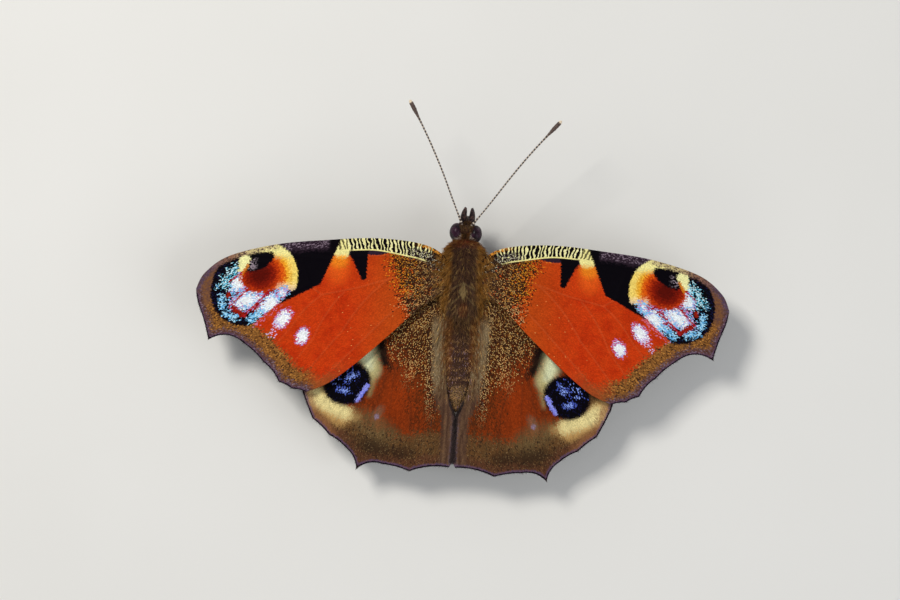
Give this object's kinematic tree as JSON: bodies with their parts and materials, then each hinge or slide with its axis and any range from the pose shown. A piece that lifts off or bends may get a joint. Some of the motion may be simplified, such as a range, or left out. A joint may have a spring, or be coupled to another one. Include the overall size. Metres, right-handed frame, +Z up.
{
  "type": "peacock butterfly",
  "caption": "Peacock butterfly at life size, standing with its red eye-spotted wings spread flat and its clubbed feelers raised ahead.",
  "frame": {"origin": "on the ground, under the middle of the whole animal's box", "axes": "+Z up; +Y towards the tail, so the head faces -Y; +X towards the animal's left"},
  "size_m": [0.0598, 0.042, 0.0111],
  "materials": {
    "wing_scales": "dusty overlapping scales, red with brown borders and blue and cream eyespots",
    "body_hair": "dense silky golden-brown hair",
    "abdomen_scales": "dark brown scales flecked with gold, and short hair",
    "compound_eye": "glossy dark facets",
    "palp_scales": "dark bristly scales",
    "tongue_horn": "ringed horn",
    "antenna_horn": "dark horn ringed with pale scales, with a pale tip",
    "leg_scales": "brown scaled horn with fine spines"
  },
  "bodies": {
    "root": {"thorax": "body_hair", "abdomen": "abdomen_scales", "head": "body_hair", "eye_left": "compound_eye", "eye_right": "compound_eye", "palp_left": "palp_scales", "palp_right": "palp_scales", "proboscis": "tongue_horn", "antenna_left": "antenna_horn", "antenna_right": "antenna_horn", "forewing_left": "wing_scales", "forewing_right": "wing_scales", "hindwing_left": "wing_scales", "hindwing_right": "wing_scales", "foreleg_left": "leg_scales", "foreleg_right": "leg_scales", "midleg_left": "leg_scales", "midleg_right": "leg_scales", "hindleg_left": "leg_scales", "hindleg_right": "leg_scales"}
  },
  "joints": []
}
